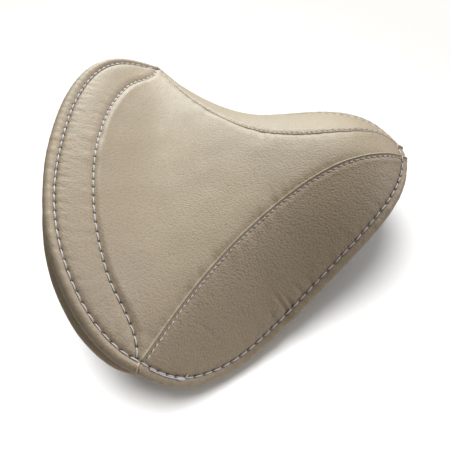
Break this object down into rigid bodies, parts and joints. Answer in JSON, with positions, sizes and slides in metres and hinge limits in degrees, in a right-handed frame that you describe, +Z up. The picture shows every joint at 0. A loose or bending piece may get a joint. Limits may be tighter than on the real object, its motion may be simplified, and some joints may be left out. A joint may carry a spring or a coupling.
{
  "type": "saddle stool seat cushion",
  "caption": "Saddle-shaped upholstered seat cushion for a therapist's stool: stiff shell, foam, stitched leather cover with a rolled edge, threaded inserts and dust cover",
  "frame": {"origin": "centre of the mounting face under the seat, where the four bosses end", "axes": "+X towards the nose, which is the front; +Y towards the sitter's left; +Z up"},
  "size_m": [0.3275, 0.3878, 0.1184],
  "materials": {
    "cover_leather": "pebbled, taupe",
    "thread": "thick sewing thread, off-white",
    "shell_plastic": "moulded, black",
    "foam": "open-cell polyurethane foam",
    "wadding": "white polyester wadding",
    "cord_filler": "foam cord",
    "dust_cloth": "black non-woven cloth",
    "staple_steel": "galvanised wire",
    "insert_brass": "turned"
  },
  "bodies": {
    "root": {"seat_shell": "shell_plastic", "foam_core": "foam", "comfort_layer": "wadding", "edge_cord": "cord_filler", "top_panel": "cover_leather", "side_panel_left": "cover_leather", "side_panel_right": "cover_leather", "border_stitching": "thread", "rear_stitching": "thread", "seam_stitching_left": "thread", "seam_stitching_right": "thread", "thread_tail": "thread", "cover_staples": "staple_steel", "dust_cover": "dust_cloth", "dust_cover_staples": "staple_steel", "insert_front_left": "insert_brass", "insert_front_right": "insert_brass", "insert_rear_left": "insert_brass", "insert_rear_right": "insert_brass"}
  },
  "joints": []
}
